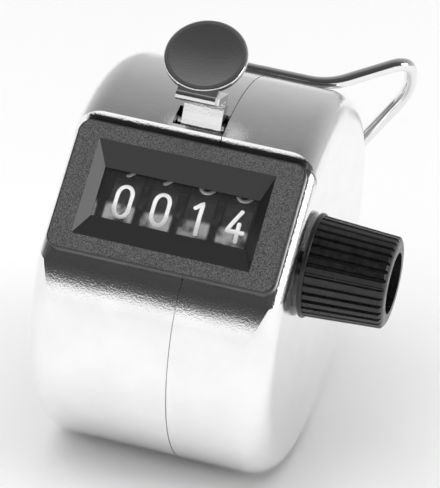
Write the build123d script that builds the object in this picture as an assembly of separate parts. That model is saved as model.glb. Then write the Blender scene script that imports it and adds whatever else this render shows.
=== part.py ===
from build123d import *
import math
import os

os.makedirs("parts", exist_ok=True)

# Hand tally counter.
# Frame: millimetres, +X towards the reset knob, +Y to the back, +Z up.
# Origin at the middle of the base plate's underside, below the drum's axis.

# ---- driving dimensions -------------------------------------------------
DRUM_R = 25.0          # outer radius of the round case
DRUM_Z = 24.0          # height of the drum axis above the table
HALF_W = 15.6          # half the width of the case
RIM_R = 3.6            # rounding where the drum turns into its side
SHEET = 0.8            # case sheet thickness
FLAT_N = 22.0          # distance of the flat window face from the drum axis
FLAT_TOP_Y = -9.85     # upright face where the flat ends in front of the lever slot
BASE_CUT = 22.8        # distance of the case's base flat from the drum axis
SIDE_ROUND = 2.2       # rounding of the window flat's side edges
LOWER_ROUND = 12.0     # radius of the arc that joins the flat to the drum below it
FOOT_X, FOOT_Y = 10.5, 7.0
SCREW_X = (-7.5, 7.5)  # base screws
SEAM_X = 3.1           # joint line between the two case halves
SEAM_GAP = 0.06        # half of the visible joint gap

BEZEL_W, BEZEL_H, BEZEL_T = 29.1, 17.05, 1.25
BEZEL_U = -0.5         # bezel centre along the window face
OPEN_W, OPEN_H = 24.9, 13.1
RECESS_W, RECESS_H = 22.6, 12.6
VIEW_W, VIEW_H = 19.8, 6.4
RECESS_D = 1.36
RECESS_X = -0.28

WHEEL_R = 9.0
WHEEL_PITCH = 4.79
WHEEL_RIM_W = 3.4
WHEEL_X0 = -7.03       # middle of the thousands wheel
SHAFT_R = 1.5
RUN = 0.05             # radial running clearance on shafts

GEAR_TEETH, PINION_TEETH = 20, 8
GEAR_TIP, GEAR_ROOT = 8.55, 7.5
PINION_TIP, PINION_ROOT = 3.70, 2.65
CENTRES = 11.41        # wheel axis to pinion axis

PLATE_L = (-12.4, -11.4)
PLATE_R = (11.6, 12.6)

SLOT_X = (-3.4, 3.1)
SLOT_Y = (-9.4, -6.2)
LEVER_X = -0.3
STRIP_X = (-2.45, 2.6)  # sides of the strip that runs through the slot
PADDLE_X = -0.8
PIVOT = (9.0, 19.0)    # lever pivot, relative to the drum axis
ARC_R = 17.9           # radius of the strip that runs through the slot
PADDLE_R = 5.2
PADDLE_C = (-6.2, 31.3)
PADDLE_TILT = 33.5     # slope of the paddle's plate, degrees

WIRE_R = 0.85
WIRE_ORBIT = 26.1
LEG_ANGLES = (52.0, 9.0)

S = math.sqrt(0.5)


# ---- helpers ------------------------------------------------------------
def face_yz(u, n):
    """Window-face coordinates to (y, z) relative to the drum axis."""
    return ((u - n) * S, (u + n) * S)


WHEEL_C = face_yz(-0.8, 11.9)
PINION_C = face_yz(-0.8 - CENTRES, 11.9)
WINDOW = Plane(origin=(0, 0, DRUM_Z), x_dir=(1, 0, 0), z_dir=(0, -1, 1))


def xcyl(r, x0, x1, yz):
    """Cylinder along X about a point given relative to the drum axis."""
    place = Pos((x0 + x1) / 2, yz[0], yz[1] + DRUM_Z)
    return place * Rot(0, 90, 0) * Cylinder(r, x1 - x0)


def slab(x0, x1, y0, y1, z0, z1):
    """Box from its limits, z relative to the drum axis."""
    place = Pos((x0 + x1) / 2, (y0 + y1) / 2, (z0 + z1) / 2 + DRUM_Z)
    return place * Box(x1 - x0, y1 - y0, z1 - z0)


def face_box(w, h, n0, n1, x=0.0, u=0.0):
    """Box standing on the window face's own axes."""
    return WINDOW * Pos(x, u, (n0 + n1) / 2) * Box(w, h, n1 - n0)


def prism(points, x0, x1):
    """Outline in (y, z) relative to the drum axis, extruded along X."""
    pts = [(y, z + DRUM_Z) for y, z in points]
    outline = make_face(Polyline(*pts, close=True))
    return extrude(Plane.YZ.offset(x0) * outline, amount=x1 - x0, dir=(1, 0, 0))


def polar(c, r, deg):
    """Point at an angle about a centre in the YZ plane."""
    a = math.radians(deg)
    return (c[0] + r * math.cos(a), c[1] + r * math.sin(a))


def ribbon(points, t):
    """Closed outline of a strip of thickness t along a centre line."""
    left, right = [], []
    count = len(points)
    for i in range(count):
        a = points[max(i - 1, 0)]
        b = points[i]
        c = points[min(i + 1, count - 1)]
        d1 = (b[0] - a[0], b[1] - a[1])
        d2 = (c[0] - b[0], c[1] - b[1])
        if i == 0:
            d1 = d2
        if i == count - 1:
            d2 = d1
        n1 = (-d1[1] / math.hypot(*d1), d1[0] / math.hypot(*d1))
        n2 = (-d2[1] / math.hypot(*d2), d2[0] / math.hypot(*d2))
        m = (n1[0] + n2[0], n1[1] + n2[1])
        k = t / (m[0] * m[0] + m[1] * m[1])
        left.append((b[0] + m[0] * k, b[1] + m[1] * k))
        right.append((b[0] - m[0] * k, b[1] - m[1] * k))
    return left + right[::-1]


def toothed(c, teeth, tip, root, tip_w, root_w, phase):
    """Outline of a gear with straight-sided teeth."""
    pts = []
    for i in range(teeth):
        mid = phase + 360.0 * i / teeth
        root_a = math.degrees(root_w / 2 / root)
        tip_a = math.degrees(tip_w / 2 / tip)
        pts.append(polar(c, root, mid - root_a))
        pts.append(polar(c, tip, mid - tip_a))
        pts.append(polar(c, tip, mid + tip_a))
        pts.append(polar(c, root, mid + root_a))
    return pts


def save(name, shape):
    """Write one sub-part."""
    solids = shape.solids()
    out = solids[0] if len(solids) == 1 else Compound(children=list(solids))
    out.label = name
    export_step(out, "parts/" + name + ".step")


# ---- case ---------------------------------------------------------------
def lower_blend(t):
    """Waste outside the arc that joins the window flat to the drum below it."""
    r = LOWER_ROUND - t
    n0 = FLAT_N - LOWER_ROUND
    reach = DRUM_R - LOWER_ROUND
    u0 = -math.sqrt(reach ** 2 - n0 ** 2)
    turn = (math.pi / 2 + math.atan2(n0, u0)) / 2
    k = (DRUM_R - t) / reach
    on_flat = (u0, FLAT_N - t)
    middle = (u0 + r * math.cos(turn), n0 + r * math.sin(turn))
    on_drum = (u0 * k, n0 * k)
    far = (on_drum[0] * 1.5, on_drum[1] * 1.5)
    outline = ThreePointArc(on_flat, middle, on_drum) + Polyline(on_drum, far, (u0, FLAT_N + 20), on_flat)
    side = Plane(origin=(-20, 0, DRUM_Z), x_dir=(0, 1, 1), z_dir=(1, 0, 0))
    return extrude(side * make_face(outline), amount=40)


def case_drum(t):
    """The round case with its window flat and base flat, moved inwards by t."""
    drum = Pos(0, 0, DRUM_Z) * Rot(0, 90, 0) * Cylinder(DRUM_R - t, 2 * (HALF_W - t))
    drum = fillet(drum.edges().filter_by(GeomType.CIRCLE), max(RIM_R - t, 0.5))
    top_y = FLAT_TOP_Y + t
    rise = (FLAT_N - t) / S    # the flat's height above the drum axis at y = 0
    waste = [(top_y, top_y + rise), (top_y, 60), (-70, 60), (-70, rise - 70)]
    drum = drum - prism(waste, -40, 40)
    return drum - slab(-40, 40, -40, 40, -60, -(BASE_CUT - t))


def case_solid(t):
    """The case's outer form moved inwards by t."""
    return case_drum(t) - lower_blend(t)


def flat_bar():
    """Bar as wide as the case that ends at the window flat, with rounded side edges below the slot."""
    bar = face_box(2 * HALF_W, 80, -60, FLAT_N)
    along = bar.edges().filter_by(Axis((0, 0, 0), (0, 1, 1)))
    bar = fillet(along.sort_by(Axis((0, 0, 0), (0, -1, 1)))[-2:], SIDE_ROUND)
    return bar + slab(-HALF_W, HALF_W, FLAT_TOP_Y, 40, -40, 40)


outer = (case_drum(0.0) & flat_bar()) - lower_blend(0.0)
inner = case_solid(SHEET)
rib_free = case_solid(SHEET + 0.06) - case_solid(SHEET + 0.56)
rib_held = inner - case_solid(SHEET + 0.56)

window_hole = face_box(OPEN_W, OPEN_H, 18, 26, u=BEZEL_U)
slot_hole = slab(SLOT_X[0], SLOT_X[1], SLOT_Y[0], SLOT_Y[1], 18, 30)
base_holes = [Pos(x, 0, 2) * Cylinder(1.1, 8) for x in SCREW_X]
rivet_spots = [(-5.1, 38.0), (-5.1, 23.0)]


def radial(x, deg, r0, r1, rad):
    """Cylinder pointing away from the drum axis."""
    mid = polar((0, 0), (r0 + r1) / 2, deg)
    return Pos(x, mid[0], mid[1] + DRUM_Z) * Rot(deg - 90, 0, 0) * Cylinder(rad, r1 - r0)


def split_case():
    left = (outer & slab(-40, SEAM_X - SEAM_GAP, -40, 40, -40, 40)) - inner
    right = (outer & slab(SEAM_X + SEAM_GAP, 40, -40, 40, -40, 40)) - inner
    lip = rib_free & slab(SEAM_X - 2.0, SEAM_X + 0.3, -40, 40, -40, 40)
    root = rib_held & slab(SEAM_X + 0.3, SEAM_X + 1.8, -40, 40, -40, 40)
    right = right + root + lip
    for hole in [window_hole, slot_hole] + base_holes:
        left = left - hole
        right = right - hole
    for x, deg in rivet_spots:
        left = left - radial(x, deg, 22, 27, 0.95)
    right = right - xcyl(3.0, 13, 17, WHEEL_C)
    return left, right


left_shell, right_shell = split_case()
save("left_shell", left_shell)
save("right_shell", right_shell)


def make_bezel():
    plate = face_box(BEZEL_W, BEZEL_H, FLAT_N, FLAT_N + BEZEL_T, u=BEZEL_U)
    corners = plate.edges().filter_by(Axis((0, 0, 0), (0, -1, 1)))
    plate = fillet(corners, 1.6)
    top = plate.faces().sort_by(Axis((0, 0, 0), (0, -1, 1)))[-1]
    plate = fillet(top.outer_wire().edges(), 0.3)
    spigot = face_box(OPEN_W - 0.3, OPEN_H - 0.3, 21.3, FLAT_N + 0.2, u=BEZEL_U)
    body = plate + spigot
    n_top = FLAT_N + BEZEL_T
    mouth = WINDOW * Pos(RECESS_X, BEZEL_U, n_top) * Rectangle(RECESS_W, RECESS_H)
    floor = WINDOW * Pos(RECESS_X, BEZEL_U, n_top - RECESS_D) * Rectangle(VIEW_W, VIEW_H)
    funnel = loft([mouth, floor])
    view = face_box(VIEW_W, VIEW_H, 20, n_top - 0.5, x=RECESS_X, u=BEZEL_U)
    seat = face_box(VIEW_W + 1.4, VIEW_H + 1.4, 20, 21.75, x=RECESS_X, u=BEZEL_U)
    return body - funnel - view - seat


save("front_bezel", make_bezel())
save("window_lens", face_box(VIEW_W + 1.2, VIEW_H + 1.2, 21.35, 21.75, x=RECESS_X, u=BEZEL_U))


def make_base():
    plate = slab(-FOOT_X, FOOT_X, -FOOT_Y, FOOT_Y, -DRUM_Z, -BASE_CUT)
    plate = fillet(plate.edges().filter_by(Axis.Z), 2.0)
    plate = chamfer(plate.faces().sort_by(Axis.Z)[0].outer_wire().edges(), 0.3)
    for x in SCREW_X:
        plate = plate - Pos(x, 0, 0.6) * Cylinder(1.1, 3)
        plate = plate - Pos(x, 0, 0.35) * Cylinder(2.2, 0.9)
    return plate


save("base_plate", make_base())
for index, x in enumerate(SCREW_X):
    head = Pos(x, 0, 0.475) * Cylinder(2.0, 0.63)
    shank = Pos(x, 0, 2.1) * Cylinder(0.97, 3.0)
    drive = Pos(x, 0, 0.2) * Box(3.0, 0.5, 0.5)
    save("base_screw_" + str(index + 1), head + shank - drive)


# ---- finger ring and its clip -------------------------------------------
def make_clip():
    outer_arc = [polar((0, 0), DRUM_R + 0.62, d) for d in range(9, 53, 1)]
    inner_arc = [polar((0, 0), DRUM_R + 0.02, d) for d in range(9, 53, 1)]
    body = prism(outer_arc + inner_arc[::-1], -9.2, -1.0)
    for deg in LEG_ANGLES:
        body = body + xcyl(WIRE_R + 0.6, -9.2, -1.0, polar((0, 0), WIRE_ORBIT, deg))
    body = body - xcyl(DRUM_R + 0.02, -20, 10, (0, 0))
    for deg in LEG_ANGLES:
        body = body - xcyl(WIRE_R + 0.02, -20, 10, polar((0, 0), WIRE_ORBIT, deg))
    for x, deg in rivet_spots:
        body = body - radial(x, deg, 22, 27, 0.95)
    return body


save("rear_clip_plate", make_clip())
for index, spot in enumerate(rivet_spots):
    shank = radial(spot[0], spot[1], 23.9, DRUM_R + 0.8, 0.9)
    head = radial(spot[0], spot[1], DRUM_R + 0.66, DRUM_R + 1.26, 1.6)
    head = fillet(head.edges().filter_by(GeomType.CIRCLE).sort_by(
        Axis((0, 0, DRUM_Z), (0, math.cos(math.radians(spot[1])), math.sin(math.radians(spot[1])))))[-1:], 0.5)
    tail = radial(spot[0], spot[1], 23.6, 24.15, 1.4)
    save("clip_rivet_" + str(index + 1), shank + head + tail)


def make_ring():
    a = polar((0, 0), WIRE_ORBIT, LEG_ANGLES[0])
    b = polar((0, 0), WIRE_ORBIT, LEG_ANGLES[1])
    raw = [(-9.9, a[0], a[1], 0), (10.15, a[0], a[1], 2.6), (19.3, 23.2, 23.3, 2.9),
           (19.2, 26.4, 17.6, 2.9), (10.6, b[0], b[1], 2.6), (-9.9, b[0], b[1], 0)]
    pts = [Vector(x, y, z + DRUM_Z) for x, y, z, c in raw]
    edges = []
    last = pts[0]
    for i in range(1, len(pts) - 1):
        back = (pts[i - 1] - pts[i]).normalized() * raw[i][3]
        fore = (pts[i + 1] - pts[i]).normalized() * raw[i][3]
        edges.append(Edge.make_line(last, pts[i] + back))
        edges.append(Edge.make_bezier(pts[i] + back, pts[i], pts[i] + fore))
        last = pts[i] + fore
    edges.append(Edge.make_line(last, pts[-1]))
    path = Wire(edges)
    section = Plane(origin=pts[0], z_dir=(1, 0, 0)) * Circle(WIRE_R)
    return sweep(section, path=path)


save("finger_ring", make_ring())


# ---- inner frame --------------------------------------------------------
POSTS = [(15.0, -4.0), (-13.0, -12.0), (6.0, -15.0), (17.0, 11.0)]
OUTLINE = [(-8, -22), (8, -22), (12, -17), (19, -6), (19.8, 8), (16, 15.5), (11, 20.6), (7, 21.4),
           (3, 19.5), (-2, 13), (-8, 12.5), (-14, 11), (-19.5, 4), (-20.3, -4), (-15, -16)]


def make_plate(x0, x1, tab0, tab1, hole_x):
    body = prism(OUTLINE, x0, x1)
    body = body + slab(tab0, tab1, -4, 4, -22, -21)
    body = body - xcyl(SHAFT_R + RUN, x0 - 1, x1 + 1, WHEEL_C)
    body = body - xcyl(1.02, x0 - 1, x1 + 1, PINION_C)
    body = body - xcyl(1.22, x0 - 1, x1 + 1, PIVOT)
    for spot in POSTS:
        body = body - xcyl(0.82, x0 - 1, x1 + 1, spot)
    body = body - Pos(hole_x, 0, 2.5) * Cylinder(1.0, 2.2)
    return body


save("left_side_plate", make_plate(PLATE_L[0], PLATE_L[1], PLATE_L[0], -5.4, SCREW_X[0]))
stud_hole = xcyl(0.72, 11, 13, (1.5, -1.0))
save("right_side_plate", make_plate(PLATE_R[0], PLATE_R[1], 5.4, PLATE_R[1], SCREW_X[1]) - stud_hole)
for index, spot in enumerate(POSTS):
    post = xcyl(1.5, PLATE_L[1], PLATE_R[0], spot) + xcyl(0.8, PLATE_L[0], PLATE_R[1], spot)
    save("frame_post_" + str(index + 1), post)


# ---- number wheels and carry gears --------------------------------------
def wheel_x(i):
    return WHEEL_X0 + i * WHEEL_PITCH


GEAR_PHASE = 225.0     # direction from the wheel axis to the pinion axis


def make_wheel(i):
    x = wheel_x(i)
    rim = xcyl(WHEEL_R, x - WHEEL_RIM_W / 2, x + WHEEL_RIM_W / 2, WHEEL_C)
    rim = rim - xcyl(7.3, x - 3, x + 3, WHEEL_C)
    web = xcyl(7.4, x - 0.5, x + 0.5, WHEEL_C)
    hub = xcyl(3.0, x - 2.3, x + 2.3, WHEEL_C)
    body = rim + web + hub
    if i < 3:
        teeth = prism(toothed(WHEEL_C, GEAR_TEETH, GEAR_TIP, GEAR_ROOT, 0.7, 1.15, GEAR_PHASE),
                      x + WHEEL_RIM_W / 2, x + WHEEL_RIM_W / 2 + 0.75)
        teeth = teeth - xcyl(6.8, x, x + 4, WHEEL_C)
        body = body + teeth
        body = body + (xcyl(7.4, x + 1.2, x + 2.45, WHEEL_C) - xcyl(6.8, x, x + 4, WHEEL_C))
    if i > 0:
        disc = xcyl(6.6, x - 2.15, x - 1.7, WHEEL_C)
        lugs = slab(x - 2.15, x - 1.7, WHEEL_C[0] - 0.6, WHEEL_C[0] + 0.6, WHEEL_C[1], WHEEL_C[1] + 7.25)
        body = body + disc + lugs - xcyl(2.9, x - 2.2, x - 1.8, WHEEL_C)
        body = body + hub
        body = body + (xcyl(7.4, x - 1.9, x - 1.6, WHEEL_C) - xcyl(6.2, x - 2, x - 1.5, WHEEL_C))
    return body - xcyl(SHAFT_R + RUN, x - 4, x + 4, WHEEL_C)


for i, name in enumerate(("wheel_thousands", "wheel_hundreds", "wheel_tens", "wheel_units")):
    save(name, make_wheel(i))


def make_ratchet():
    x0 = wheel_x(3) + 2.45
    pts = []
    for i in range(10):
        pts.append(polar(WHEEL_C, 4.0, 36 * i))
        pts.append(polar(WHEEL_C, 3.1, 36 * i + 4))
    body = prism(pts, x0, x0 + 1.0) + xcyl(2.6, x0, x0 + 1.6, WHEEL_C)
    return body - xcyl(SHAFT_R + RUN, x0 - 1, x0 + 3, WHEEL_C)


save("ratchet_wheel", make_ratchet())


def make_pinion(i):
    x = wheel_x(i) + 2.25
    phase = GEAR_PHASE + 180.0 + 180.0 / PINION_TEETH
    body = prism(toothed(PINION_C, PINION_TEETH, PINION_TIP, PINION_ROOT, 0.7, 1.15, phase),
                 x - 0.4, x + 0.4)
    body = body + xcyl(1.9, x - 2.25, x + 2.25, PINION_C)
    return body - xcyl(1.0 + RUN, x - 4, x + 4, PINION_C)


for i in range(3):
    save("transfer_pinion_" + str(i + 1), make_pinion(i))
save("pinion_shaft", xcyl(1.0, PLATE_L[0] - 0.2, PLATE_R[1] + 0.2, PINION_C))
left_sleeve = xcyl(1.9, PLATE_L[1] + 0.05, wheel_x(0) - 0.15, PINION_C)
save("pinion_spacer_left", left_sleeve - xcyl(1.05, -20, 0, PINION_C))
right_sleeve = xcyl(1.9, wheel_x(2) + 4.65, PLATE_R[0] - 0.05, PINION_C)
save("pinion_spacer_right", right_sleeve - xcyl(1.05, 0, 20, PINION_C))


# ---- reset shaft and knob -----------------------------------------------
KNOB_X = (15.9, 16.55, 26.55)   # flange, ribbed body and end
KNOB_R = (6.65, 6.4, 5.77)


def make_shaft():
    body = xcyl(SHAFT_R, -13.3, 21.5, WHEEL_C)
    groove = slab(-9.4, 9.6, WHEEL_C[0] - 0.3, WHEEL_C[0] + 0.3, WHEEL_C[1] + 1.1, WHEEL_C[1] + 2)
    return body - groove


save("number_shaft", make_shaft())
spacer = xcyl(2.6, PLATE_L[1] + 0.05, wheel_x(0) - 2.4, WHEEL_C)
save("shaft_spacer", spacer - xcyl(SHAFT_R + RUN, -20, 0, WHEEL_C))
save("shaft_clip", xcyl(2.9, -13.1, -12.5, WHEEL_C) - xcyl(SHAFT_R + 0.01, -14, -12, WHEEL_C)
     - slab(-14, -12, WHEEL_C[0] - 0.7, WHEEL_C[0] + 0.7, WHEEL_C[1] - 4, WHEEL_C[1]))
bush = xcyl(2.95, 13.9, HALF_W, WHEEL_C) + xcyl(4.0, 13.7, 14.45, WHEEL_C)
save("shaft_bush", bush - xcyl(SHAFT_R + RUN, 13, 17, WHEEL_C))


def star(r, depth, count):
    pts = []
    for i in range(count):
        a = 360.0 / count * i
        step = 360.0 / count
        pts.append(polar((0, 0), r, a - 0.27 * step))
        pts.append(polar((0, 0), r, a + 0.27 * step))
        pts.append(polar((0, 0), r - depth, a + 0.42 * step))
        pts.append(polar((0, 0), r - depth, a + 0.58 * step))
    return pts


def ring_face(x, points):
    plane = Plane(origin=(x, WHEEL_C[0], WHEEL_C[1] + DRUM_Z), x_dir=(0, 1, 0), z_dir=(1, 0, 0))
    return plane * make_face(Polyline(*points, close=True))


def make_knob():
    ribs = 32
    body = loft([ring_face(KNOB_X[1] - 0.1, star(KNOB_R[1], 0.38, ribs)),
                 ring_face(KNOB_X[2], star(KNOB_R[2], 0.38, ribs))])
    flange = xcyl(KNOB_R[0], KNOB_X[0], KNOB_X[1], WHEEL_C)
    flange = fillet(flange.edges().filter_by(GeomType.CIRCLE), 0.25)
    trim = xcyl(KNOB_R[2] + 0.35, KNOB_X[2] - 6, KNOB_X[2], WHEEL_C)
    trim = fillet(trim.edges().filter_by(GeomType.CIRCLE).sort_by(Axis.X)[-1:], 1.3)
    keep = trim + xcyl(7.0, KNOB_X[0] - 1, KNOB_X[2] - 4, WHEEL_C)
    body = (body & keep) + flange
    body = body - xcyl(3.9, KNOB_X[2] - 4.0, KNOB_X[2] + 1, WHEEL_C)
    body = body - xcyl(SHAFT_R + 0.01, 14, 21.55, WHEEL_C)
    body = body - xcyl(0.9, 20, 24, WHEEL_C)
    return body


save("reset_knob", make_knob())
screw = xcyl(2.2, 22.6, 23.9, WHEEL_C) + xcyl(0.85, 21.6, 22.7, WHEEL_C)
screw = screw - slab(23.3, 24.5, WHEEL_C[0] - 3, WHEEL_C[0] + 3, WHEEL_C[1] - 0.3, WHEEL_C[1] + 0.3)
save("knob_screw", screw)


# ---- thumb lever --------------------------------------------------------
def make_lever():
    x0, x1 = STRIP_X
    arc = [polar(PIVOT, ARC_R, d) for d in (170.5, 168, 165, 162, 159, 156, 153.6)]
    tilt = math.radians(PADDLE_TILT)
    along = (math.cos(tilt), math.sin(tilt))
    up = (-math.sin(tilt), math.cos(tilt))
    nose = (PADDLE_C[0] - along[0] * 5.9, PADDLE_C[1] - along[1] * 5.9)
    line = [(6.6, 21.6), (-8.65, 21.55)] + arc[1:] + [(nose[0] + 0.2, nose[1] - 0.15)]
    strip = prism(ribbon(line, 0.8), x0, x1)
    neck_line = [nose, (PADDLE_C[0] - along[0] * 3.0, PADDLE_C[1] - along[1] * 3.0)]
    neck = prism(ribbon(neck_line, 0.8), LEVER_X - 2.5, LEVER_X + 2.5)
    roll = xcyl(0.62, LEVER_X - 2.5, LEVER_X + 2.5, (nose[0] + 0.1, nose[1] - 0.1))
    body = strip + neck + roll
    for a, b in ((x0, x0 + 0.6), (x1 - 0.6, x1)):
        wall = [polar(PIVOT, 16.4, d) for d in range(157, 170, 2)]
        face = [polar(PIVOT, ARC_R, d) for d in range(169, 155, -2)]
        body = body + prism(wall + face, a, b)
    wide = prism(ribbon([(6.6, 21.6), (-4.6, 21.56)], 0.8), -4.0, 9.3)
    body = body + wide
    for a, b in ((-4.0, -3.2), (8.5, 9.3)):
        ear = prism([(3.0, 21.8), (8.6, 21.7), (11.1, 19.4), (9.4, 16.85), (7.4, 17.2)], a, b)
        body = body + ear
    pawl_ear = prism([(-4.6, 21.3), (-0.5, 21.1), (-2.2, 18.3), (-4.4, 18.2)], 8.5, 9.3)
    body = body + pawl_ear
    dish = Plane(origin=(PADDLE_X, PADDLE_C[0], PADDLE_C[1] + DRUM_Z), x_dir=(1, 0, 0),
                 z_dir=(0, up[0], up[1]))
    plate = dish * Pos(0, 0, 0.05) * Cylinder(PADDLE_R, 1.0)
    plate = fillet(plate.edges().filter_by(GeomType.CIRCLE), 0.3)
    hollow = dish * Pos(0, 0, 0.55 + 26.9) * Rot(90, 0, 0) * Sphere(27.28)
    body = body + plate - hollow
    body = body - xcyl(1.2 + 0.06, -20, 20, PIVOT)
    body = body - xcyl(0.61, 8, 10, (-3.5, 19.3))
    return body


save("thumb_lever", make_lever())
save("lever_pivot_pin", xcyl(1.2, PLATE_L[0] - 0.2, PLATE_R[1] + 0.2, PIVOT))
save("pawl_pin", xcyl(0.6, 8.4, 10.95, (-3.5, 19.3)))


def make_pawl():
    finger = prism([(-4.5, 19.3), (-4.75, 9.6), (-4.35, 9.0), (-3.7, 9.4), (-2.6, 18.9)], 9.95, 10.75)
    body = finger + xcyl(1.25, 9.95, 10.75, (-3.5, 19.3))
    return body - xcyl(0.66, 9, 12, (-3.5, 19.3))


save("feed_pawl", make_pawl())


def make_return_spring():
    turns, pitch, radius, wire = 6.25, 0.6, 1.55, 0.2
    height = turns * pitch
    coil = Helix(pitch, height, radius, lefthand=True)
    path = Plane(origin=(-2.6, PIVOT[0], PIVOT[1] + DRUM_Z), x_dir=(0, 0, 1), z_dir=(1, 0, 0)) * coil
    start = path @ 0
    section = Plane(origin=start, z_dir=path % 0) * Circle(wire)
    body = sweep(section, path=path)
    legs = [(-2.6, (PIVOT[0], PIVOT[1] + radius), (0.5, 20.93)),
            (-2.6 + height, (PIVOT[0] + radius, PIVOT[1]), (15.3, 12.3))]
    for x, root, tip in legs:
        p = Vector(x, root[0], root[1] + DRUM_Z)
        q = Vector(x, tip[0], tip[1] + DRUM_Z)
        span = q - p
        leg = Plane(origin=(p + q) * 0.5, z_dir=span.normalized()) * Cylinder(wire, span.length)
        body = body + leg + Pos(p) * Sphere(wire + 0.01)
    return body


save("lever_return_spring", make_return_spring())


def make_detent():
    leaf = prism(ribbon([(1.5, -1.9), (-1.5, -0.8), (-6.6, 3.1), (-7.6, 3.25)], 0.3), 9.95, 10.75)
    eye = xcyl(1.2, 9.95, 10.75, (1.5, -1.0))
    return leaf + eye - xcyl(0.72, 9, 12, (1.5, -1.0))


save("detent_spring", make_detent())
stud = xcyl(0.7, 9.7, PLATE_R[1], (1.5, -1.0)) + xcyl(1.2, 10.85, PLATE_R[0], (1.5, -1.0))
save("detent_stud", stud + xcyl(1.1, 9.4, 9.85, (1.5, -1.0)))
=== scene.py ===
import math

import bmesh
import bpy
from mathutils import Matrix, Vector


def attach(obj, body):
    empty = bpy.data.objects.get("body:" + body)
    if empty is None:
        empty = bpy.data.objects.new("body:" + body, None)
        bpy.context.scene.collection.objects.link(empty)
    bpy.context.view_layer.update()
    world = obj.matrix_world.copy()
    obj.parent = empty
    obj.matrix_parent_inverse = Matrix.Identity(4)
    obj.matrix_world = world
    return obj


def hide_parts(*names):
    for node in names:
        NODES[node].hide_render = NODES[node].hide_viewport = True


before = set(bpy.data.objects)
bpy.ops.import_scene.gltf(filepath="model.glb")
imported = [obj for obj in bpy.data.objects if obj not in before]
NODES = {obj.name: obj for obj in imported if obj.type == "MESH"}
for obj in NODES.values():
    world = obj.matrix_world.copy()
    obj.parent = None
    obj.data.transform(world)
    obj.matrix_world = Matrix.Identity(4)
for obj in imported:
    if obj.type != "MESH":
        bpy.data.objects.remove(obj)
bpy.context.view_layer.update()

MM = 0.001
S = math.sqrt(0.5)      # the window face is at 45 degrees
DRUM_Z = 24.0           # height of the drum's axis, mm

# number wheels: centre in window-face coordinates, radius and spacing, mm
WHEEL_U, WHEEL_N = -0.8, 11.9
WHEEL_R = 9.0
PITCH = 4.79
WHEEL_X = [-7.03 + PITCH * i for i in range(4)]


# ---- helpers -------------------------------------------------------------
def face_point(x, u, n):
    """Window-face coordinates (mm, from the drum axis) to the row frame (m)."""
    return Vector((x, (u - n) * S, (u + n) * S + DRUM_Z)) * MM


def new_object(name, bm, smooth=True):
    mesh = bpy.data.meshes.new(name)
    bm.normal_update()
    bm.to_mesh(mesh)
    bm.free()
    for poly in mesh.polygons:
        poly.use_smooth = smooth
    obj = bpy.data.objects.new(name, mesh)
    bpy.context.scene.collection.objects.link(obj)
    return obj


def give(obj, mat):
    obj.data.materials.clear()
    obj.data.materials.append(mat)


# ---- materials -----------------------------------------------------------
class Mat:
    """Small builder for one node material on the Principled shader."""

    def __init__(self, name, **sockets):
        self.mat = bpy.data.materials.new(name)
        self.mat.use_nodes = True
        self.tree = self.mat.node_tree
        self.bsdf = self.tree.nodes["Principled BSDF"]
        self.place = self.node("ShaderNodeTexCoord").outputs["Object"]
        for key, value in sockets.items():
            self.bsdf.inputs[key.replace("_", " ")].default_value = value

    def node(self, kind, **props):
        made = self.tree.nodes.new(kind)
        for key, value in props.items():
            setattr(made, key, value)
        return made

    def link(self, a, b):
        self.tree.links.new(a, b)

    def math(self, operation, *values):
        made = self.node("ShaderNodeMath", operation=operation)
        for socket, value in zip(made.inputs, values):
            if isinstance(value, (int, float)):
                socket.default_value = value
            else:
                self.link(value, socket)
        return made.outputs[0]

    def fade(self, source, start, end):
        """0 before start and 1 after end, smooth between."""
        made = self.node("ShaderNodeMapRange", interpolation_type="SMOOTHSTEP")
        made.inputs["From Min"].default_value = start
        made.inputs["From Max"].default_value = end
        self.link(source, made.inputs["Value"])
        return made.outputs["Result"]

    def noise(self, scale, detail=3.0, rough=0.55, stretch=None):
        source = self.place
        if stretch:
            mapping = self.node("ShaderNodeMapping")
            mapping.inputs["Scale"].default_value = stretch
            self.link(source, mapping.inputs["Vector"])
            source = mapping.outputs["Vector"]
        made = self.node("ShaderNodeTexNoise")
        made.inputs["Scale"].default_value = scale
        made.inputs["Detail"].default_value = detail
        made.inputs["Roughness"].default_value = rough
        self.link(source, made.inputs["Vector"])
        return made.outputs["Fac"]

    def ramp(self, source, stops, target):
        made = self.node("ShaderNodeValToRGB")
        while len(made.color_ramp.elements) < len(stops):
            made.color_ramp.elements.new(0.5)
        for element, (at, colour) in zip(made.color_ramp.elements, stops):
            element.position = at
            if not isinstance(colour, tuple):
                colour = (colour, colour, colour)
            element.color = (*colour, 1.0)
        self.link(source, made.inputs["Fac"])
        self.link(made.outputs["Color"], self.bsdf.inputs[target])

    def bump(self, source, strength, distance):
        made = self.node("ShaderNodeBump")
        made.inputs["Strength"].default_value = strength
        made.inputs["Distance"].default_value = distance
        self.link(source, made.inputs["Height"])
        before = self.bsdf.inputs["Normal"]
        if before.is_linked:
            self.link(before.links[0].from_socket, made.inputs["Normal"])
        self.link(made.outputs["Normal"], before)


def chrome(name, tint, low, high, grain):
    """Polished plate: faint mottling, a slight sheet-metal waviness and a fine grain."""
    m = Mat(name, Metallic=1.0)
    m.ramp(m.noise(160, 4), [(0.35, tuple(c * 0.95 for c in tint)), (0.65, tint)], "Base Color")
    m.ramp(m.noise(420, 4), [(0.35, low), (0.7, high)], "Roughness")
    m.bump(m.noise(110, 1), 1.0, 0.0001)
    m.bump(m.noise(4200, 2, 0.7), 1.0, grain)
    return m.mat


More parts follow.
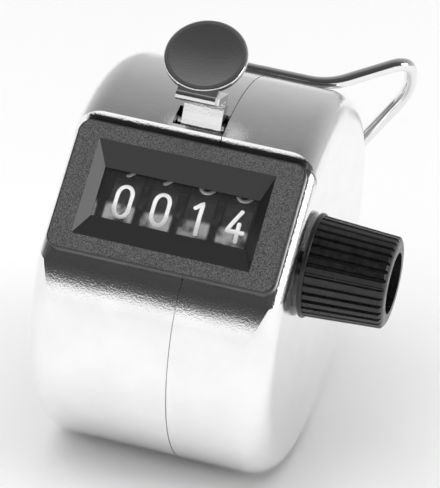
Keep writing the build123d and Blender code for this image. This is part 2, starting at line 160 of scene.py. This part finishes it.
def plastic(name, dark, light, low, high, grain_scale, grain, shine=0.5):
    """Moulded plastic or paint: colour and gloss vary a little, over a fine grain."""
    m = Mat(name, Specular_IOR_Level=shine)
    m.ramp(m.noise(grain_scale * 0.6, 4), [(0.35, dark), (0.7, light)], "Base Color")
    m.ramp(m.noise(grain_scale * 0.3, 3), [(0.3, low), (0.7, high)], "Roughness")
    m.bump(m.noise(grain_scale, 3), 1.0, grain)
    return m.mat


def bezel_plastic():
    """Charcoal plastic with a fine grain on the frame's face and smooth walls in its recess, with painted
    shade: the walls get a darker colour than the face.
    """
    m = Mat("bezel_plastic", Specular_IOR_Level=0.75)
    geometry = m.node("ShaderNodeNewGeometry")
    facing = m.node("ShaderNodeVectorMath", operation="DOT_PRODUCT")
    facing.inputs[1].default_value = (0, -S, S)
    m.link(geometry.outputs["True Normal"], facing.inputs[0])
    face_vs_shaded_walls = m.fade(facing.outputs["Value"], 0.93, 0.985)
    grain_and_wall_shade = m.math("MULTIPLY", m.noise(6500, 2, 0.7), face_vs_shaded_walls)
    # painted shade: the recess walls get a darker colour (0.012) than the grained face
    m.ramp(grain_and_wall_shade, [(0.0, 0.012), (0.3, 0.018), (0.42, 0.032), (0.62, 0.13)], "Base Color")
    m.ramp(face_vs_shaded_walls, [(0.0, 0.3), (1.0, 0.55)], "Roughness")
    m.bump(grain_and_wall_shade, 1.0, 0.00004)
    return m.mat


def metal(name, tint, low, high, stretch=None):
    """Plain or drawn metal; stretch draws the mottling out along the wire."""
    m = Mat(name, Metallic=1.0)
    dark = tuple(c * 0.8 for c in tint)
    m.ramp(m.noise(700, 3, stretch=stretch), [(0.3, dark), (0.7, tint)], "Base Color")
    m.ramp(m.noise(900, 3, stretch=stretch), [(0.3, low), (0.7, high)], "Roughness")
    m.bump(m.noise(1500, 2, stretch=stretch), 0.15, 0.00003)
    return m.mat


# each finish: colours, lowest and highest roughness, then scale and height (m) of the grain
CHROME = chrome("case_chrome", (0.93, 0.93, 0.93), 0.03, 0.08, 0.000026)
LEVER = chrome("lever_chrome", (0.78, 0.78, 0.78), 0.05, 0.12, 0.000016)
WIRE = chrome("wire_chrome", (0.88, 0.88, 0.885), 0.04, 0.1, 0.000005)
BEZEL = bezel_plastic()
KNOB = plastic("knob_plastic", (0.006, 0.006, 0.006), (0.014, 0.014, 0.014), 0.24, 0.36, 1800, 0.00001)
WHEEL = plastic("wheel_plastic", (0.008, 0.008, 0.008), (0.02, 0.02, 0.02), 0.12, 0.26, 1500, 0.00001, 0.9)
PINION = plastic("pinion_plastic", (0.55, 0.54, 0.5), (0.7, 0.69, 0.65), 0.4, 0.55, 1200, 0.00001)
NUMERAL = plastic("numeral_paint", (0.86, 0.86, 0.85), (0.96, 0.96, 0.95), 0.45, 0.6, 2200, 0.00001)
STEEL = metal("steel", (0.62, 0.62, 0.63), 0.25, 0.42)
SPRING = metal("spring_steel", (0.5, 0.5, 0.52), 0.2, 0.35, stretch=(0.3, 1, 1))
BRASS = metal("brass", (0.75, 0.6, 0.32), 0.22, 0.38)


CLEAR_ALPHA, PAINTED_REFLECTION_ALPHA = 0.02, 0.3
PAINTED_REFLECTION_TOP, PAINTED_REFLECTION_FULL = -0.0012, -0.0019    # where the painted reflection over each wheel starts and is full, up the face, m


def lens_material():
    """Clear pane with a painted reflection: pale patches over the lower half of each wheel."""
    m = Mat("clear_lens", IOR=1.49)
    # pale colour of the pane, which shows as the painted reflection where the alpha rises
    m.ramp(m.noise(60, 2), [(0.3, 0.6), (0.7, 0.7)], "Base Color")
    m.ramp(m.noise(300, 2), [(0.3, 0.02), (0.7, 0.05)], "Roughness")
    split = m.node("ShaderNodeSeparateXYZ")
    m.link(m.place, split.inputs[0])
    pitches = m.math("MULTIPLY_ADD", split.outputs["X"], 1 / (PITCH * MM), 0.5 - WHEEL_X[0] / PITCH)
    off_middle = m.math("ABSOLUTE", m.math("SUBTRACT", m.math("FRACT", pitches), 0.5))
    beside = m.fade(off_middle, 0.42, 0.34)
    above_axis = m.math("SUBTRACT", split.outputs["Z"], DRUM_Z * MM)
    up_face = m.math("MULTIPLY", m.math("ADD", split.outputs["Y"], above_axis), S)
    low = m.fade(up_face, PAINTED_REFLECTION_TOP, PAINTED_REFLECTION_FULL)
    patchy = m.fade(m.noise(420, 3), 0.35, 0.6)
    # painted reflection: the pane turns pale and less clear over the lower half of each wheel, in patches
    painted_reflection = m.math("MULTIPLY", m.math("MULTIPLY", beside, low), patchy)
    m.link(m.math("MULTIPLY_ADD", painted_reflection, PAINTED_REFLECTION_ALPHA, CLEAR_ALPHA), m.bsdf.inputs["Alpha"])
    return m.mat


LENS = lens_material()

BY_NODE = {
    "left_shell": CHROME, "right_shell": CHROME, "base_plate": CHROME, "rear_clip_plate": CHROME,
    "finger_ring": WIRE, "thumb_lever": LEVER, "front_bezel": BEZEL, "window_lens": LENS,
    "reset_knob": KNOB, "ratchet_wheel": BRASS, "shaft_bush": BRASS, "lever_return_spring": SPRING,
    "detent_spring": SPRING,
}
for name, node in NODES.items():
    mat = BY_NODE.get(name, STEEL)
    if name.startswith("wheel_"):
        mat = WHEEL
    if name.startswith("transfer_pinion"):
        mat = PINION
    give(node, mat)


# ---- numerals ------------------------------------------------------------
def arc(cx, cy, rx, ry, a0, a1, count=20):
    """Points along part of an ellipse, from angle a0 to a1 in degrees."""
    out = []
    for i in range(count + 1):
        a = math.radians(a0 + (a1 - a0) * i / count)
        out.append((cx + rx * math.cos(a), cy + ry * math.sin(a)))
    return out


def line(*pts):
    """Points along straight runs, close enough to wrap on the wheel."""
    out = []
    for (x0, y0), (x1, y1) in zip(pts, pts[1:]):
        steps = max(2, int(math.hypot(x1 - x0, y1 - y0) / 0.05))
        out += [(x0 + (x1 - x0) * i / steps, y0 + (y1 - y0) * i / steps) for i in range(steps)]
    return out + [pts[-1]]


# each numeral is a list of strokes in a box one unit tall
STROKES = {
    0: [arc(0, 0.17, 0.2, 0.27, 0, 180) + arc(0, -0.17, 0.2, 0.27, 180, 360) + [(0.2, 0.17)]],
    1: [line((-0.13, 0.26), (0.04, 0.44), (0.04, -0.44))],
    2: [arc(0, 0.22, 0.2, 0.22, 165, -25) + line((0.18, 0.12), (-0.2, -0.43), (0.22, -0.43))],
    3: [arc(0, 0.23, 0.18, 0.21, 160, -90), arc(0, -0.21, 0.2, 0.23, 90, -160)],
    4: [line((0.07, 0.43), (-0.2, -0.16), (0.23, -0.16)), line((0.09, 0.06), (0.09, -0.4))],
    5: [line((0.19, 0.43), (-0.15, 0.43), (-0.18, 0.05)) + arc(0, -0.16, 0.2, 0.28, 140, -155)],
    6: [arc(0, -0.18, 0.2, 0.26, 0, 360), line((-0.2, -0.14), (-0.12, 0.16), (0.1, 0.44))],
    7: [line((-0.2, 0.43), (0.2, 0.43), (-0.06, -0.44))],
    8: [arc(0, 0.23, 0.165, 0.205, 0, 360), arc(0, -0.21, 0.2, 0.23, 0, 360)],
    9: [arc(0, 0.18, 0.2, 0.26, 0, 360), line((0.2, 0.14), (0.12, -0.16), (-0.1, -0.44))],
}
DIGIT_H = 4.6       # height of a numeral, mm
STROKE_W = 0.56     # width of its stroke
LIFT = 0.05         # how far it stands above the rim
SINK = -0.02        # how far its edges go into the rim
CAP_LIFT = LIFT - 0.004
ACROSS = (-1, -0.85, 0, 0.85, 1)    # points across the stroke, in half widths


def on_wheel(cx, phase, a, b, lift):
    """A point of a numeral: a mm across, b mm up, wrapped on the wheel's rim."""
    r = WHEEL_R + lift
    t = phase + b / WHEEL_R
    return face_point(cx + a, WHEEL_U + r * math.sin(t), WHEEL_N + r * math.cos(t))


def add_stroke(bm, pts, cx, phase):
    """One pen stroke of constant width with round ends, as a thin raised strip."""
    rows = []
    half = STROKE_W / 2
    closed = math.dist(pts[0], pts[-1]) < 1e-6
    count = len(pts)
    for i, (x, y) in enumerate(pts):
        before = pts[i - 1] if i else (pts[-2] if closed else pts[0])
        after = pts[i + 1] if i < count - 1 else (pts[1] if closed else pts[-1])
        dx, dy = after[0] - before[0], after[1] - before[1]
        size = math.hypot(dx, dy) or 1.0
        nx, ny = -dy / size * half, dx / size * half
        px, py = x * DIGIT_H, y * DIGIT_H
        rows.append([on_wheel(cx, phase, px + nx * k, py + ny * k, LIFT if abs(k) < 1 else SINK)
                     for k in ACROSS])
    verts = [[bm.verts.new(p) for p in row] for row in rows]
    for r0, r1 in zip(verts, verts[1:]):
        for k in range(len(ACROSS) - 1):
            bm.faces.new((r0[k], r1[k], r1[k + 1], r0[k + 1]))
    if not closed:
        for x, y in (pts[0], pts[-1]):
            disc = []
            for i in range(16):
                a = math.tau * i / 16
                across, up = x * DIGIT_H + half * math.cos(a), y * DIGIT_H + half * math.sin(a)
                disc.append(bm.verts.new(on_wheel(cx, phase, across, up, CAP_LIFT)))
            bm.faces.new(disc)


READING = {"thousands": 0, "hundreds": 0, "tens": 1, "units": 4}
DIGIT_STEP = math.radians(36.0)
for index, (body, shown) in enumerate(READING.items()):
    bm = bmesh.new()
    for digit, strokes in STROKES.items():
        phase = DIGIT_STEP * (shown - digit)
        for stroke in strokes:
            add_stroke(bm, stroke, WHEEL_X[index], phase)
    numerals = new_object("numerals_" + body, bm)
    give(numerals, NUMERAL)
    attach(numerals, body)


# ---- return spring -------------------------------------------------------
PIVOT_Y, PIVOT_Z = 9.0, 19.0 + DRUM_Z   # the lever's pivot, mm
COIL_R = 1.8                            # just outside the coil's wire


def spring_part(name, body, in_front):
    """Part of the return spring: its front leg follows the lever, the rest stays in the case."""
    node = NODES["lever_return_spring"]
    bm = bmesh.new()
    bm.from_mesh(node.data)
    bmesh.ops.remove_doubles(bm, verts=bm.verts, dist=1e-7)
    unwanted = []
    for face in bm.faces:
        middle = face.calc_center_median() / MM
        reach = math.hypot(middle.y - PIVOT_Y, middle.z - PIVOT_Z)
        if (middle.y < PIVOT_Y and reach > COIL_R) != in_front:
            unwanted.append(face)
    bmesh.ops.delete(bm, geom=unwanted, context="FACES")
    bmesh.ops.holes_fill(bm, edges=[edge for edge in bm.edges if edge.is_boundary])
    part = new_object(name, bm)
    give(part, SPRING)
    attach(part, body)
    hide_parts("lever_return_spring")


spring_part("return_spring_coil", "case", in_front=False)
spring_part("return_spring_front_leg", "lever", in_front=True)


# ---- floor, light and camera ---------------------------------------------
FLOOR_HALF = 3.0
FLOOR_Z = -0.0002       # just under the base, so that the two faces don't flicker


def make_floor():
    bm = bmesh.new()
    corners = ((-1, -1), (1, -1), (1, 1), (-1, 1))
    bm.faces.new([bm.verts.new((x * FLOOR_HALF, y * FLOOR_HALF, FLOOR_Z)) for x, y in corners])
    floor = new_object("floor", bm, smooth=False)
    m = Mat("floor_paper")
    m.ramp(m.noise(3, 2), [(0.3, 0.91), (0.7, 0.94)], "Base Color")
    m.ramp(m.noise(5, 2), [(0.3, 0.75), (0.7, 0.85)], "Roughness")
    give(floor, m.mat)


make_floor()


# brightness of the room round the drum's axis: 0.5 is the horizon in front, 0.75 straight up,
# 1.0 the horizon behind
ROOM = [(0.0, 0.6), (0.5, 1.0), (0.54, 1.0), (0.558, 0.12), (0.6, 0.05), (0.73, 0.08), (0.775, 0.16),
        (0.8, 0.24), (0.88, 0.36), (0.95, 0.5), (1.0, 0.6)]
ROOM_STRENGTH = 1.05
BACKDROP = (0.86, 0.86, 0.86, 1)


def make_world():
    """A studio room: bright low down and in front, dark above the front, mid grey behind."""
    world = bpy.data.worlds.new("studio")
    bpy.context.scene.world = world
    world.use_nodes = True
    tree = world.node_tree
    back = tree.nodes["Background"]
    coord = tree.nodes.new("ShaderNodeTexCoord")
    split = tree.nodes.new("ShaderNodeSeparateXYZ")
    tree.links.new(coord.outputs["Generated"], split.inputs["Vector"])
    angle = tree.nodes.new("ShaderNodeMath")
    angle.operation = "ARCTAN2"
    minus = tree.nodes.new("ShaderNodeMath")
    minus.operation = "MULTIPLY"
    minus.inputs[1].default_value = -1.0
    tree.links.new(split.outputs["Y"], minus.inputs[0])
    tree.links.new(split.outputs["Z"], angle.inputs[0])
    tree.links.new(minus.outputs[0], angle.inputs[1])
    scale = tree.nodes.new("ShaderNodeMath")
    scale.operation = "MULTIPLY_ADD"
    scale.inputs[1].default_value = 1 / math.tau
    scale.inputs[2].default_value = 0.5
    tree.links.new(angle.outputs[0], scale.inputs[0])
    ramp = tree.nodes.new("ShaderNodeValToRGB")
    while len(ramp.color_ramp.elements) < len(ROOM):
        ramp.color_ramp.elements.new(0.5)
    for element, (at, v) in zip(ramp.color_ramp.elements, ROOM):
        element.position = at
        element.color = (v, v, v, 1)
    tree.links.new(scale.outputs[0], ramp.inputs["Fac"])
    tree.links.new(ramp.outputs["Color"], back.inputs["Color"])
    back.inputs["Strength"].default_value = ROOM_STRENGTH
    # a plain backdrop behind the object, where a low view looks past the floor
    plain = tree.nodes.new("ShaderNodeBackground")
    plain.inputs["Color"].default_value = BACKDROP
    seen = tree.nodes.new("ShaderNodeLightPath")
    both = tree.nodes.new("ShaderNodeMixShader")
    tree.links.new(seen.outputs["Is Camera Ray"], both.inputs["Fac"])
    tree.links.new(back.outputs["Background"], both.inputs[1])
    tree.links.new(plain.outputs["Background"], both.inputs[2])
    tree.links.new(both.outputs["Shader"], tree.nodes["World Output"].inputs["Surface"])


make_world()


AIM = Vector((0, 0, 0.02))      # the lights point at the middle of the object's lower half


def area(name, place, size, power, mirrored=True):
    """Soft box aimed at the object; mirrored says whether the chrome shows it."""
    data = bpy.data.lights.new(name, "AREA")
    data.shape = "RECTANGLE"
    data.size, data.size_y = size
    data.energy = power
    lamp = bpy.data.objects.new(name, data)
    bpy.context.scene.collection.objects.link(lamp)
    lamp.location = place
    lamp.rotation_mode = "QUATERNION"
    lamp.rotation_quaternion = (AIM - Vector(place)).to_track_quat("-Z", "Y")
    lamp.visible_glossy = mirrored


area("key", (-0.9, -1.1, 1.8), (1.8, 1.8), 24.0, mirrored=False)
area("ceiling", (0.1, -0.1, 1.6), (1.8, 1.8), 19.0, mirrored=False)
area("right_box", (0.62, 0.0, 0.25), (0.25, 0.3), 0.9)

bpy.context.scene.view_settings.view_transform = "Standard"

# about 13 degrees to the right of the front and 28 degrees up, with a long lens
camera_data = bpy.data.cameras.new("camera")
camera_data.lens = 224.2
camera_data.clip_start, camera_data.clip_end = 0.01, 50
camera = bpy.data.objects.new("camera", camera_data)
camera.location = (0.0811449, -0.3352131, 0.2079806)
camera.rotation_mode = "QUATERNION"
camera.rotation_quaternion = (0.843305, 0.516266, 0.031103, 0.146076)
bpy.context.scene.collection.objects.link(camera)
bpy.context.scene.camera = camera
